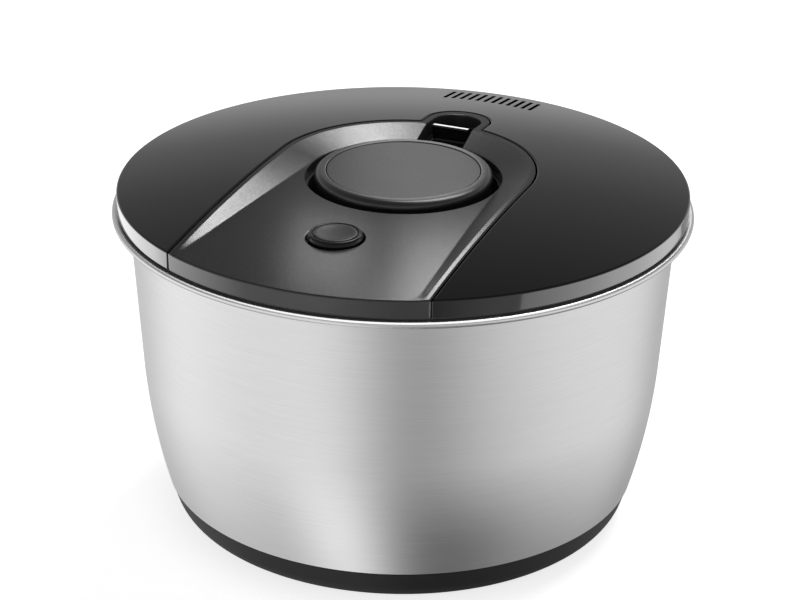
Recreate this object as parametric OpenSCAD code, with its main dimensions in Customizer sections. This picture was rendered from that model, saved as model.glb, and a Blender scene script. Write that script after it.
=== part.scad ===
// Salad spinner: a steel bowl with a black base, a perforated basket that turns on a pivot pin,
// and a domed lid with a pump knob, a latch that holds the knob down and a brake button.
// The origin is at the middle of the base, on the surface that it stands on. +Z is up, and the
// brake button is on the -Y side, the latch and the vents on the +Y side.

/* [Overall] */
// Height of the lid's sharp top edge above the table
edge_z = 157.6; // [152:0.2:164]
// Radius of the lid at its top edge
lid_r = 130; // [129:0.5:131]
// Rise of the lid's dome from its edge to its middle
dome_h = 10; // [9:0.5:11]
// Height of the lid's upright side below the edge
side_h = 8.1; // [7.9:0.1:8.3]

/* [Bowl] */
// Thickness of the steel
steel_t = 0.8; // [0.6:0.1:0.9]
// Outside radius where the straight cone of the wall meets the curved lower wall
knee_r = 120.1; // [119.8:0.1:120.4]
// Height of that knee above the table
knee_z = 74.6; // [72:0.2:77]
// Radius growth of the cone for each millimetre of height
taper = 0.0633; // [0.062:0.0001:0.064]
// Radius of the curve of the lower wall, seen from the side
wall_curve_r = 274; // [270:1:280]
// Height of the line where the steel meets the black base
seam_z = 17; // [16.5:0.1:17.5]
// Radius of the rolled bead on the rim
bead_r = 1.6; // [1.4:0.1:1.7]

/* [Base] */
// Outside radius of the black base at its top
base_r = 109.9; // [109.4:0.1:110]
// Radius of the round bottom corner of the base
base_corner_r = 12; // [11.5:0.1:12]
// Thickness of the base
base_t = 2.2; // [2:0.1:2.3]

/* [Basket] */
// Thickness of the basket's wall
basket_t = 1.8; // [1.6:0.1:2]
// Slots around the basket's wall in each row
basket_slots = 36; // [24:6:36]
// Width of the basket's slots
slot_w = 2.4; // [2:0.1:3]

/* [Panel] */
// Half of the width of the panel, and the radius of its round end
panel_r = 60; // [59:0.5:61]
// Width of the narrow land around the panel that is flush with the dome
land_w = 2.7; // [2.5:0.1:3]
// Radius of the hole for the knob
well_r = 44.8; // [44.5:0.1:45.2]
// Number of vent slots at the back
vents = 12; // [8:2:12]

/* [Knob] */
// Outside radius of the knob's cap
knob_r = 40.6; // [40.3:0.1:40.7]
// Stroke of the knob from held down to fully up
stroke = 30; // [24:1:30]
// Rise of the spindle's twist in one turn
lead = 20; // [20:1:24]

/* [Button and latch] */
// Radius of the brake button
button_r = 12; // [11.8:0.1:12.1]
// Distance of the brake button from the middle
button_y = 75.7; // [75:0.1:76]
// Travel of the brake button
button_travel = 3.3; // [2.5:0.1:3.3]
// Travel of the latch
latch_travel = 6; // [5:0.5:6]

/* [Hidden] */
$fn = 180;

eps = 0.01;
shell_t = 2.2;
gap = 0.3;
arc_steps = 12;

// Bowl and base
bead_c = [lid_r + 0.7, edge_z - 10.6];
flange_z = bead_c[1] + bead_r;
flare_r = 4.2;
flare_z = flange_z - steel_t - flare_r;
foot_drop = 0.3;
foot_in_r = 88;
foot_out_r = 94;
corner_c = [96, base_corner_r + foot_drop];
base_in_r = base_corner_r - base_t;
floor_r = base_in_r - 0.2;
floor_z = corner_c[1] - floor_r;
neck = [107.5, seam_z - 0.1];
pin_r = 4;
pin_base_r = 12;
pin_top = 38;

// Pivot cup and basket
run = 0.08;
cup_r = 7;
cup_flange_t = 2;
cup_foot_z = 19;
basket_z = 24;
basket_floor_t = 2;
basket_low = [103, 38];
basket_high = [114.8, edge_z - 25.6];
rim_z = edge_z - 20.4;
rim_r = 117.5;
basket_hub_top = 44;
basket_hub_r = 9.5;
basket_hub_foot_r = 13;
basket_collar_r = 11;
outer_slots = [56, 32];
inner_slots = [22, 28];

// Lid
dome_rad = (lid_r * lid_r + dome_h * dome_h) / (2 * dome_h);
side_z = edge_z - side_h;
panel_rise = 3.5;
panel_fall = 3.65;
panel_gap = 0.35;
vent_w = 1.8;
vent_pitch = 4.03;
vent_in_r = 107.8;
vent_out_r = 122.8;
plate_z = edge_z - 11.6;
plate_t = 2.2;
skirt_r = 121.8;
skirt_z = edge_z - 19.6;
well_wall_r = 43.6;
well_top = edge_z - 2.1;
well_floor_z = edge_z - 38.1;
well_floor_t = 2.5;
bush_r = 18;
lip_in_r = 124.5;
seal_z = edge_z - 16.6;
seal_h = 2.4;
shoe_hole_r = 6.3;
tube_r = 12.3;
tube_t = 1.6;
post_r = 4;
pilot_r = 1.3;
screw_hole_r = 1.8;
screw_spots = concat(
    [for (a = [-22, 22, 62, 118, 158, 202]) [105 * cos(a), 105 * sin(a)]],
    [[-40, -100], [40, -100]]
);

// Latch
slot_half = 11.5;
slot_end_y = 66;
horseshoe_half = 15;
horseshoe_y = 68;
latch_half = 9;
latch_gap = 0.4;
latch_z = edge_z - 3.5;
latch_t = 2.8;
latch_nose_y = 41;
latch_back_y = 73;
tab_y = 58.5;
tab_t = 4.5;
tab_tip_y = 57.9;
tab_tip_r = 1.3;
tab_top = edge_z + 7.3;
latch_plate_y = 46;
tray_half = 13.5;
tray_z = latch_z - latch_gap;
rail_w = 1.9;
rail_top = edge_z - 2;
seat_half = 6;
seat_t = 1.6;
spring_seat_y = latch_back_y + latch_travel + 1;

// Drive
flange_top = edge_z - 18.1;
flange_t = 2;
cup_floor_z = edge_z - 42.8;
hub_r = 15;
hub_in_r = 12.5;
hub_z = edge_z - 30.6;
hub_ledge_z = edge_z - 44.6;
cup_out_r = 50.5;
cup_slope = 3.5;
sleeve_in_r = 6.4;
sleeve_r = 8.2;
clip_z = edge_z - 33.5;
clip_t = 1.2;
clip_groove = 0.8;
lugs = 6;
lug_half = 5;
teeth = 16;
tooth_low_r = 11.7;
tooth_tip_r = 10.6;

// Knob and spindle
cap_z = edge_z + 2.4;
knob_top = edge_z + 6.6;
cap_round = 3;
inlay_r = 35;
inlay_z = edge_z + 4;
deck_z = edge_z + 0.4;
skirt_low = edge_z - 32.6;
knob_skirt_r = 40;
shank_r = 3.5;
shank_z = edge_z - 11.6;
bar_w = 6.6;
bar_play = 0.3;
nut_z = hub_ledge_z + gap;
nut_top = edge_z - 33.6;
nut_r = 7.6;
spindle_low = nut_z + 0.7 - stroke;
sleeve_z = spindle_low - 5;
pawl_r = 10.2;
pawl_pin = [9.05, 0.7];
pawl_h = 5.5;
nut_flange_t = 1.2;
spring_r = 23;
screw_r = 1.5;

// Button
button_top = edge_z + 4.5;
button_low = edge_z - 4.6;
button_deck = edge_z + 1.8;
shoe_z = plate_z - gap;
shoe_t = shoe_z - flange_top - button_travel - gap;
plunger_r = 6;
shoe_r = 9;
shoe_pin_r = 3;
shoe_pin_h = 1.6;

// Colours
c_steel = [0.75, 0.75, 0.74];
c_gloss = [0.09, 0.09, 0.1];
c_metallic = [0.3, 0.3, 0.31];
c_black = [0.07, 0.07, 0.07];
c_inside = [0.16, 0.16, 0.17];
c_natural = [0.85, 0.84, 0.8];

// Height of the outside of the dome at radius r
function dome_z(r) = edge_z + dome_h - dome_rad + sqrt(dome_rad * dome_rad - r * r);
// Height of the panel's shallow floor at radius r
function panel_z(r) = edge_z + panel_rise - panel_fall * pow(r / lid_r, 2);
// Outside radius of the bowl's wall at height z
function bowl_r(z) =
    knee_r + taper * (z - knee_z) - (z < knee_z ? pow(knee_z - z, 2) / (2 * wall_curve_r) : 0);
// Points on an arc from angle a to angle b
function arc(c, r, a, b, n = arc_steps) =
    [for (i = [0:n]) let (t = a + (b - a) * i / n) [c[0] + r * cos(t), c[1] + r * sin(t)]];
// Angle at which a line from point p touches the underside of a circle
function touch(p, c, r) = let (v = p - c) atan2(v[1], v[0]) - acos(r / norm(v));
// Half of the width of the trough's floor at distance y in front of the middle
function trough_in(y) = well_r + 10.7 * y / 118;

module tube(ro, ri, z0, z1) {
    translate([0, 0, z0])
        difference() {
            cylinder(r = ro, h = z1 - z0);
            translate([0, 0, -1])
                cylinder(r = ri, h = z1 - z0 + 2);
        }
}

module disc(r, z0, z1) {
    translate([0, 0, z0])
        cylinder(r = r, h = z1 - z0);
}

// Everything under the dome, down to height z0, offset inwards by t
module under_dome(r, z0, t = 0) {
    rotate_extrude()
        polygon(concat(
            [[0, z0], [r, z0]],
            [for (i = [arc_steps:-1:0]) let (x = r * i / arc_steps) [x, dome_z(x) - t]]
        ));
}

// Everything under the panel's floor, down to height z0, offset down by t
module under_panel(r, z0, t = 0) {
    rotate_extrude()
        polygon(concat(
            [[0, z0], [r, z0]],
            [for (i = [arc_steps:-1:0]) let (x = r * i / arc_steps) [x, panel_z(x) - t]]
        ));
}

// Outline of the panel: straight sides, a round end and the bulge around the latch, grown by g
module panel_outline(g = 0) {
    circle(r = panel_r + g);
    translate([-panel_r - g, -lid_r - 5])
        square([2 * (panel_r + g), lid_r + 5]);
    translate([0, horseshoe_y])
        circle(r = horseshoe_half + g);
    translate([-horseshoe_half - g, 0])
        square([2 * (horseshoe_half + g), horseshoe_y]);
}

// Outline of the latch's slot, grown by g
module slot_outline(g = 0) {
    translate([0, slot_end_y])
        circle(r = slot_half + g);
    translate([-slot_half - g, well_wall_r - 6])
        square([2 * (slot_half + g), slot_end_y - well_wall_r + 6]);
}

// Coil spring along Z between two heights
module coil(mean_r, wire_r, z0, z1, turns) {
    around = 16;
    sides = 8;
    rings = turns * around;
    pitch_z = (z1 - z0 - 2 * wire_r) / rings;
    points = [
        for (i = [0:rings])
            for (j = [0:sides - 1])
                let (a = 360 * i / around, b = 360 * j / sides, r = mean_r + wire_r * cos(b))
                    [r * cos(a), r * sin(a), z0 + wire_r + pitch_z * i + wire_r * sin(b)]
    ];
    skin = [
        for (i = [0:rings - 1])
            for (j = [0:sides - 1])
                let (k = (j + 1) % sides)
                    [i * sides + j, i * sides + k, (i + 1) * sides + k, (i + 1) * sides + j]
    ];
    ends = [[for (j = [sides - 1:-1:0]) j], [for (j = [0:sides - 1]) rings * sides + j]];
    polyhedron(points, concat(skin, ends), convexity = 10);
}

// Square bar with cut corners, twisted so that it turns once for each lead
module twisted_bar(w, z0, z1) {
    translate([0, 0, z0])
        rotate([0, 0, -360 * (z0 - spindle_low) / lead])
            linear_extrude(
                height = z1 - z0,
                twist = 360 * (z1 - z0) / lead,
                slices = ceil((z1 - z0) * 1.8),
                $fn = 8
            )
                intersection() {
                    square(w, center = true);
                    rotate([0, 0, 45])
                        square(w * 1.25, center = true);
                }
}

// Bowl of thin steel with a flared and rolled rim
module steel_bowl() {
    wall_steps = 20;
    wall = [for (i = [0:wall_steps]) let (z = seam_z + (flare_z - seam_z) * i / wall_steps) [bowl_r(z), z]];
    flare_c = [bowl_r(flare_z) + flare_r, flare_z];
    in_neck = neck + [-steel_t, steel_t];
    inside = [
        for (i = [wall_steps:-1:0])
            let (z = seam_z + steel_t + (flare_z - seam_z - steel_t) * i / wall_steps)
                [bowl_r(z) - steel_t, z]
    ];
    color(c_steel)
        rotate_extrude() {
            polygon(concat(
                [[0, floor_z]],
                arc(corner_c, floor_r, -90, touch(neck, corner_c, floor_r)),
                [neck],
                wall,
                arc(flare_c, flare_r, 180, 90, 6),
                [[bead_c[0], flange_z - steel_t], [bead_c[0], flange_z]],
                arc(flare_c, flare_r + steel_t, 90, 180, 6),
                inside,
                [in_neck],
                arc(corner_c, floor_r - steel_t, touch(in_neck, corner_c, floor_r - steel_t), -90),
                [[0, floor_z + steel_t]]
            ));
            translate(bead_c)
                circle(r = bead_r, $fn = 32);
        }
}

// Black base that covers the bottom of the bowl
module base_shell() {
    top = [base_r, seam_z - 0.2];
    in_top = [neck[0] + 0.3, seam_z - 0.2];
    color(c_black)
        difference() {
            rotate_extrude()
                polygon(concat(
                    [[0, foot_drop], [corner_c[0], foot_drop]],
                    arc(corner_c, base_corner_r, -90, touch(top, corner_c, base_corner_r)),
                    [top, in_top],
                    arc(corner_c, base_in_r, touch(in_top, corner_c, base_in_r), -90),
                    [[0, corner_c[1] - base_in_r]]
                ));
            tube(foot_out_r, foot_in_r, foot_drop - 1, foot_drop + 1);
        }
}

// Rubber ring in the base's groove
module nonslip_foot() {
    color(c_inside)
        tube(foot_out_r, foot_in_r, 0, foot_drop + 1);
}

// Steel pin welded to the middle of the bowl's floor
module pivot_pin() {
    low = floor_z + steel_t;
    color(c_steel)
        rotate_extrude()
            polygon(concat(
                [[0, low], [pin_base_r, low], [pin_base_r, low + 1]],
                [[pin_r + 2, low + 1.6], [pin_r, low + 4]],
                arc([0, pin_top - pin_r], pin_r, 0, 90, 8)
            ));
}

// Bearing cup that stands on the pin while the basket turns around it
module pivot_cup() {
    color(c_natural)
        difference() {
            union() {
                disc(cup_r, cup_foot_z, pin_top + 2.4);
                disc(cup_r + 3, cup_foot_z, cup_foot_z + cup_flange_t);
            }
            disc(pin_r + run, cup_foot_z - 1, pin_top + gap);
        }
}

// Perforated basket with a hub over the bearing cup
module basket() {
    corner_r = 12;
    lean = atan2(basket_high[0] - basket_low[0], basket_high[1] - basket_low[1]);
    out_c = basket_low - corner_r * [cos(lean), -sin(lean)];
    drop = out_c[1] - corner_r - basket_z;
    hub_foot = cup_foot_z + cup_flange_t + gap;
    hub_in_top = pin_top + 3.6;
    rows = 3;
    row_h = (basket_high[1] - basket_low[1]) / rows;
    row_gap = 8;
    color(c_inside)
        difference() {
            rotate_extrude()
                polygon(concat(
                    [[cup_r + run, hub_foot], [basket_collar_r, hub_foot], [basket_collar_r, basket_z]],
                    [[out_c[0], basket_z]],
                    arc(out_c - [0, drop], corner_r, -90, -lean),
                    [basket_low, basket_high],
                    [[basket_high[0], rim_z - 2], [rim_r, rim_z - 2], [rim_r, rim_z]],
                    [[basket_high[0] - basket_t, rim_z], basket_high - [basket_t, 0]],
                    [basket_low - [basket_t, 0]],
                    arc(out_c - [0, drop], corner_r - basket_floor_t, -lean, -90),
                    [[basket_hub_foot_r, basket_z + basket_floor_t], [basket_hub_r, basket_hub_top]],
                    [[0, basket_hub_top], [0, hub_in_top], [cup_r + run, hub_in_top]]
                ));
            for (row = [0:rows - 1])
                for (i = [0:basket_slots - 1])
                    rotate([0, 0, (i + row / 2) * 360 / basket_slots])
                        translate([80, -slot_w / 2, basket_low[1] + row_h * row + row_gap / 2])
                            cube([50, slot_w, row_h - row_gap]);
            for (i = [0:basket_slots - 1])
                rotate([0, 0, i * 360 / basket_slots])
                    translate([outer_slots[0], -slot_w / 2, basket_z - 1])
                        cube([outer_slots[1], slot_w, basket_floor_t + 2]);
            for (i = [0:basket_slots / 2 - 1])
                rotate([0, 0, i * 720 / basket_slots])
                    translate([inner_slots[0], -slot_w / 2, basket_z - 1])
                        cube([inner_slots[1], slot_w, basket_floor_t + 2]);
            for (i = [0:lugs - 1])
                rotate([0, 0, i * 360 / lugs])
                    translate([basket_high[0] - basket_t - 1, -lug_half - 1.5, rim_z - 2.6])
                        cube([basket_t + 1.8, 2 * lug_half + 3, 4]);
        }
}

// Glossy domed ring of the lid, open in front and in the middle for the panel
module lid_cover() {
    color(c_gloss)
        difference() {
            union() {
                difference() {
                    under_dome(lid_r, side_z);
                    under_dome(lid_r - shell_t, side_z - 1, shell_t);
                }
                intersection() {
                    under_dome(lid_r, side_z - 5);
                    for (i = [0:5])
                        translate([screw_spots[i][0], screw_spots[i][1], plate_z + plate_t])
                            cylinder(r = post_r, h = 30);
                }
            }
            translate([0, 0, plate_z - 5])
                linear_extrude(height = 40)
                    panel_outline(panel_gap);
            for (i = [0:5])
                translate([screw_spots[i][0], screw_spots[i][1], plate_z])
                    cylinder(r = pilot_r, h = 10);
            vent_slots();
        }
}

// Vent slots, cut between two radii and all along Y
module vent_slots() {
    intersection() {
        tube(vent_out_r, vent_in_r, plate_z, edge_z + 20);
        for (i = [0:vents - 1])
            translate([(i - (vents - 1) / 2) * vent_pitch - vent_w / 2, 100, edge_z - 8])
                cube([vent_w, 30, 30]);
    }
}

// One cross-section of the trough in front of the knob, at distance y
module trough_station(y) {
    low = [trough_in(y), panel_z(norm([trough_in(y), y]))];
    high_x = panel_r - land_w;
    high = [high_x, dome_z(norm([high_x, y]))];
    over = 0.6;
    under = 0.3;
    above = high + (high - low) * over;
    below = low - (high - low) * under;
    translate([0, -y, 0])
        rotate([90, 0, 0])
            linear_extrude(height = eps)
                polygon([[-below[0], below[1]], below, above, [-above[0], above[1]]]);
}

// Sunken middle of the panel: a cone around the knob and a trough that widens to the front
module panel_hollow() {
    steps = 4;
    reach = lid_r + 4;
    high_r = panel_r - land_w;
    low_z = panel_z(well_r);
    high_z = dome_z(high_r);
    rise = (high_z - low_z) / (high_r - well_r);
    rotate_extrude()
        polygon([[0, low_z], [well_r, low_z], [high_r + 4, high_z + 4 * rise], [0, high_z + 4 * rise]]);
    difference() {
        for (i = [0:steps - 1])
            hull() {
                trough_station(reach * i / steps);
                trough_station(reach * (i + 1) / steps);
            }
        under_panel(lid_r + 20, edge_z - 20);
    }
}

// Matte panel with the openings for the knob, the brake button and the latch
module top_panel() {
    latch_wall = 1.6;
    latch_top = latch_z + latch_t + gap;
    ring_gap = 1.5;
    color(c_metallic)
        difference() {
            union() {
                difference() {
                    intersection() {
                        under_dome(lid_r, side_z);
                        translate([0, 0, side_z])
                            linear_extrude(height = 40)
                                panel_outline();
                    }
                    panel_hollow();
                    under_panel(lid_r - shell_t, side_z - 1, shell_t);
                }
                tube(well_r + 2, well_r, well_top + 0.1, panel_z(well_r) - eps);
                translate([0, -button_y, 0])
                    tube(tube_r + tube_t + 1.2, button_r + 1, edge_z - 0.8, panel_z(button_y) - 1);
                intersection() {
                    translate([0, 0, edge_z - 1.8])
                        linear_extrude(height = 6)
                            slot_outline(latch_wall);
                    difference() {
                        under_panel(lid_r, side_z);
                        disc(well_r, side_z, edge_z + 20);
                    }
                }
                for (i = [6:7])
                    translate([screw_spots[i][0], screw_spots[i][1], plate_z + plate_t])
                        cylinder(r = post_r, h = panel_z(norm(screw_spots[i])) - plate_z - plate_t - 1);
            }
            disc(well_r, side_z - 1, edge_z + 20);
            translate([0, -button_y, 0])
                disc(button_r + ring_gap, side_z - 1, edge_z + 20);
            translate([0, 0, side_z - 1])
                linear_extrude(height = 40)
                    slot_outline();
            translate([-latch_half - latch_gap, slot_end_y, side_z])
                cube([2 * (latch_half + latch_gap), 2 * slot_half, latch_top - side_z]);
            for (i = [6:7])
                translate([screw_spots[i][0], screw_spots[i][1], plate_z])
                    cylinder(r = pilot_r, h = 9);
        }
}

// Inner plate of the lid with the well for the knob, the brake's guide and the latch's tray
module lid_base() {
    lip_r = lid_r - 0.8;
    lip_z = flange_z + 0.1;
    cover_in_r = lid_r - shell_t - 0.2;
    tray_y = well_wall_r + 1;
    color(c_inside)
        difference() {
            union() {
                rotate_extrude()
                    polygon([
                        [well_wall_r, well_floor_z + well_floor_t], [well_wall_r, well_top],
                        [well_wall_r + shell_t, well_top], [well_wall_r + shell_t, plate_z + plate_t],
                        [skirt_r, plate_z + plate_t], [lip_in_r, side_z + 1], [cover_in_r, side_z + 1],
                        [cover_in_r, side_z], [lip_r, side_z], [lip_r, lip_z], [lip_in_r, lip_z],
                        [skirt_r, plate_z], [skirt_r, skirt_z], [skirt_r - shell_t, skirt_z],
                        [skirt_r - shell_t, plate_z], [well_wall_r + shell_t, plate_z],
                        [well_wall_r + shell_t, well_floor_z], [bush_r, well_floor_z],
                        [bush_r, well_floor_z + well_floor_t]
                    ]);
                translate([0, -button_y, 0])
                    disc(tube_r + tube_t, plate_z + 1, edge_z - 1.1);
                translate([-tray_half, tray_y, plate_z + 1])
                    cube([2 * tray_half, spring_seat_y + seat_t - tray_y, tray_z - plate_z - 1]);
                for (side = [-1, 1])
                    translate([side * (latch_half + latch_gap + rail_w / 2) - rail_w / 2, tray_y, tray_z - 1])
                        cube([rail_w, slot_end_y - well_wall_r, rail_top - tray_z + 1]);
                translate([-seat_half, spring_seat_y, tray_z - 1])
                    cube([2 * seat_half, seat_t, rail_top - tray_z + 1]);
            }
            tube(skirt_r + 1, skirt_r - 1, seal_z, seal_z + seal_h);
            translate([0, -button_y, plate_z + plate_t])
                cylinder(r = tube_r, h = 20);
            translate([0, -button_y, plate_z - 1])
                cylinder(r = shoe_hole_r, h = 20);
            translate([-latch_half - latch_gap, well_wall_r - 4, tray_z])
                cube([2 * (latch_half + latch_gap), 12, 10]);
            for (p = screw_spots)
                translate([p[0], p[1], plate_z - 1])
                    cylinder(r = screw_hole_r, h = 10);
            translate([-vents * vent_pitch / 2, vent_in_r - 3, plate_z - 1])
                cube([vents * vent_pitch, 8, 10]);
        }
}

// Soft ring that centres the lid in the bowl's mouth
module lid_seal() {
    color(c_inside)
        rotate_extrude()
            polygon([
                [skirt_r - 1, seal_z], [skirt_r + 0.2, seal_z], [skirt_r + 1.4, seal_z + 1],
                [skirt_r + 1.4, seal_z + seal_h - 1], [skirt_r + 0.2, seal_z + seal_h],
                [skirt_r - 1, seal_z + seal_h]
            ]);
}

// Screws that hold the cover and the panel to the inner plate
module lid_screws() {
    color(c_steel)
        for (p = screw_spots)
            translate([p[0], p[1], plate_z])
                difference() {
                    union() {
                        translate([0, 0, -2])
                            cylinder(r = 3.2, h = 2);
                        cylinder(r = pilot_r, h = 8);
                    }
                    for (a = [0, 90])
                        rotate([0, 0, a])
                            translate([-2, -0.4, -2.5])
                                cube([4, 0.8, 1.5]);
                }
}

// Plain bearing in the floor of the well
module hub_bush() {
    color(c_natural)
        difference() {
            union() {
                disc(bush_r, cup_floor_z + flange_t + 0.4, well_floor_z + well_floor_t);
                disc(bush_r + 3, well_floor_z + well_floor_t, well_floor_z + well_floor_t + 1.5);
            }
            disc(hub_r + run, cup_floor_z, edge_z);
        }
}

// Plate that covers the basket and turns it, with its hub and the spindle's sleeve
module drive_plate() {
    cup_in_r = cup_out_r - 1.7;
    sleeve_floor = 2;
    color(c_natural)
        difference() {
            union() {
                rotate_extrude()
                    polygon([
                        [0, sleeve_z], [sleeve_r, sleeve_z], [sleeve_r, hub_ledge_z - 2],
                        [hub_r, hub_ledge_z - 2], [hub_r, cup_floor_z], [cup_out_r, cup_floor_z],
                        [cup_out_r + cup_slope, flange_top - flange_t],
                        [rim_r - 0.5, flange_top - flange_t], [rim_r - 0.5, flange_top],
                        [cup_in_r + cup_slope, flange_top], [cup_in_r, cup_floor_z + flange_t],
                        [hub_r, cup_floor_z + flange_t], [hub_r, hub_z], [hub_in_r, hub_z],
                        [hub_in_r, hub_ledge_z], [sleeve_in_r, hub_ledge_z],
                        [sleeve_in_r, sleeve_z + sleeve_floor], [0, sleeve_z + sleeve_floor]
                    ]);
                for (i = [0:lugs - 1])
                    rotate([0, 0, i * 360 / lugs])
                        translate([basket_high[0] - basket_t + 0.2, -lug_half, rim_z - 2])
                            cube([2, 2 * lug_half, flange_top - rim_z + 1]);
            }
            tube(hub_r + 1, hub_r - clip_groove, clip_z - 0.05, clip_z + clip_t + 0.05);
        }
}

// Ring of saw teeth inside the drive hub
module ratchet_ring() {
    tooth = 360 / teeth;
    radii = [tooth_low_r, tooth_tip_r];
    color(c_steel)
        translate([0, 0, hub_ledge_z + 1])
            linear_extrude(height = 8.5)
                difference() {
                    circle(r = hub_in_r);
                    polygon([
                        for (i = [0:teeth - 1], k = [0:1])
                            let (a = (i + k * 0.95) * tooth) [radii[k] * cos(a), radii[k] * sin(a)]
                    ]);
                }
}

// Ring that keeps the clutch nut in the hub
module hub_cap() {
    color(c_natural)
        tube(hub_in_r, nut_r + 0.6, nut_top + 0.4, nut_top + 2.6);
}

// Open spring ring that holds the hub in its bearing
module hub_clip() {
    color(c_steel)
        difference() {
            tube(bush_r, hub_r - clip_groove + 0.05, clip_z, clip_z + clip_t);
            translate([0, -3, clip_z - 1])
                cube([30, 6, 4]);
        }
}

// Nut that the twisted spindle turns
module clutch_nut() {
    color(c_natural)
        difference() {
            union() {
                disc(nut_r, nut_z, nut_top);
                disc(pawl_r, nut_z, nut_z + nut_flange_t);
                for (side = [0, 180])
                    rotate([0, 0, side])
                        translate([pawl_pin[0], 0, nut_z])
                            cylinder(r = pawl_pin[1], h = nut_flange_t + pawl_h + gap);
            }
            twisted_bar(bar_w + 2 * bar_play, nut_z - 1, nut_top + 1);
        }
}

// Two curved pawls on the nut's pins
module clutch_pawls() {
    color(c_steel)
        for (side = [0, 180])
            rotate([0, 0, side])
                difference() {
                    rotate([0, 0, -8])
                        rotate_extrude(angle = 60)
                            translate([nut_r + gap, nut_z + nut_flange_t])
                                square([pawl_r - nut_r - gap, pawl_h]);
                    translate([pawl_pin[0], 0, nut_z])
                        cylinder(r = pawl_pin[1] + run, h = 9);
                }
}

// Hollow lower part of the knob, with the sockets for the spindle and the spring
module knob_skirt() {
    skirt_t = 2;
    rib_in_r = 26;
    rib_t = 1.8;
    ribs = 8;
    color(c_black)
        difference() {
            union() {
                tube(knob_skirt_r, knob_skirt_r - skirt_t, skirt_low, cap_z);
                disc(knob_skirt_r - 1, deck_z, cap_z);
                disc(8.5, shank_z, deck_z + 1);
                tube(spring_r - 1.6, spring_r - 3.4, deck_z - 5, deck_z + 1);
                for (i = [0:ribs - 1])
                    rotate([0, 0, i * 360 / ribs])
                        translate([rib_in_r, -rib_t / 2, deck_z - 8])
                            cube([knob_skirt_r - skirt_t - rib_in_r + 1, rib_t, 9]);
            }
            disc(shank_r, shank_z - 1, deck_z);
            disc(screw_r + 0.6, deck_z - 1, cap_z + 1);
        }
}

// Cap of the knob with a soft round edge
module knob_cap() {
    recess_r = inlay_r + 0.2;
    color(c_black)
        difference() {
            rotate_extrude()
                polygon(concat(
                    [[0, cap_z], [knob_r, cap_z]],
                    arc([knob_r - cap_round, knob_top - cap_round], cap_round, 0, 90, 8),
                    [[0, knob_top]]
                ));
            disc(recess_r, inlay_z, knob_top + 1);
            disc(4.5, cap_z - 1, cap_z + 1.4);
        }
}

// Dished disc on top of the knob
module knob_inlay() {
    edge_top = knob_top - 0.3;
    dish = 1.3;
    color(c_metallic)
        rotate_extrude()
            polygon(concat(
                [[0, inlay_z], [inlay_r, inlay_z]],
                [
                    for (i = [arc_steps:-1:0])
                        let (t = i / arc_steps) [inlay_r * t, edge_top - dish * (1 - t * t)]
                ]
            ));
}

// Twisted steel spindle
module spindle() {
    color(c_steel)
        difference() {
            union() {
                twisted_bar(bar_w, spindle_low, shank_z);
                disc(shank_r, shank_z, deck_z);
            }
            disc(screw_r, deck_z - 10, deck_z + 1);
        }
}

// Screw from the knob's deck down into the spindle
module spindle_screw() {
    color(c_steel)
        difference() {
            union() {
                disc(screw_r, deck_z - 9, cap_z);
                disc(3.6, cap_z, cap_z + 1.2);
            }
            for (a = [0, 90])
                rotate([0, 0, a])
                    translate([-2, -0.4, cap_z + 0.4])
                        cube([4, 0.8, 2]);
        }
}

// Coil spring that lifts the knob
module return_spring() {
    color(c_steel)
        coil(spring_r, 0.75, well_floor_z + well_floor_t + 0.05, deck_z - 0.05, 7);
}

// Latch with a finger tab
module latch_slider() {
    nose_half = 7;
    pocket_half = 1.8;
    color(c_gloss)
        difference() {
            union() {
                translate([-latch_half, latch_plate_y, latch_z])
                    cube([2 * latch_half, latch_back_y - latch_plate_y, latch_t]);
                translate([-nose_half, latch_nose_y, latch_z])
                    cube([2 * nose_half, 10, latch_t]);
                hull() {
                    translate([-latch_half, tab_y, latch_z])
                        cube([2 * latch_half, tab_t, eps]);
                    translate([0, tab_tip_y, tab_top - tab_tip_r])
                        rotate([0, 90, 0])
                            cylinder(r = tab_tip_r, h = 2 * latch_half, center = true, $fn = 32);
                }
            }
            translate([-pocket_half, slot_end_y, latch_z - 1])
                cube([2 * pocket_half, 10, latch_t + 1]);
        }
}

// Small coil spring behind the latch
module latch_spring() {
    color(c_steel)
        translate([0, 0, latch_z + 1.4])
            rotate([-90, 0, 0])
                coil(1.1, 0.3, slot_end_y + 0.2, spring_seat_y, 6);
}

// Button with a raised rim
module brake_button() {
    color(c_gloss)
        translate([0, -button_y, 0])
            difference() {
                union() {
                    rotate_extrude()
                        polygon(concat(
                            [[0, button_deck], [button_r - 1.2, button_deck]],
                            [[button_r - 1.2, button_low], [button_r, button_low]],
                            arc([button_r - 1, button_top - 1], 1, 0, 90, 6),
                            [[0, button_top]]
                        ));
                    tube(plunger_r + 2, plunger_r, edge_z - 2.1, button_deck + 0.5);
                }
                disc(button_r - 1.9, button_top - 0.9, button_top + 1);
            }
}

// Dished disc on the button
module button_inlay() {
    r = button_r - 2;
    color(c_metallic)
        translate([0, -button_y, 0])
            rotate_extrude()
                polygon(concat(
                    [[0, button_top - 0.9], [r, button_top - 0.9]],
                    [for (i = [6:-1:0]) let (t = i / 6) [r * t, button_top + 0.2 - 0.6 * (1 - t * t)]]
                ));
}

// Rod from the button down through the inner plate
module brake_plunger() {
    color(c_natural)
        translate([0, -button_y, 0]) {
            disc(plunger_r, shoe_z, button_deck);
            disc(shoe_pin_r, shoe_z - shoe_pin_h, shoe_z + 1);
        }
}

// Rubber brake shoe
module brake_shoe() {
    color(c_inside)
        translate([0, -button_y, 0])
            difference() {
                disc(shoe_r, shoe_z - shoe_t, shoe_z);
                disc(shoe_pin_r, shoe_z - shoe_pin_h, shoe_z + 1);
            }
}

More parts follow.
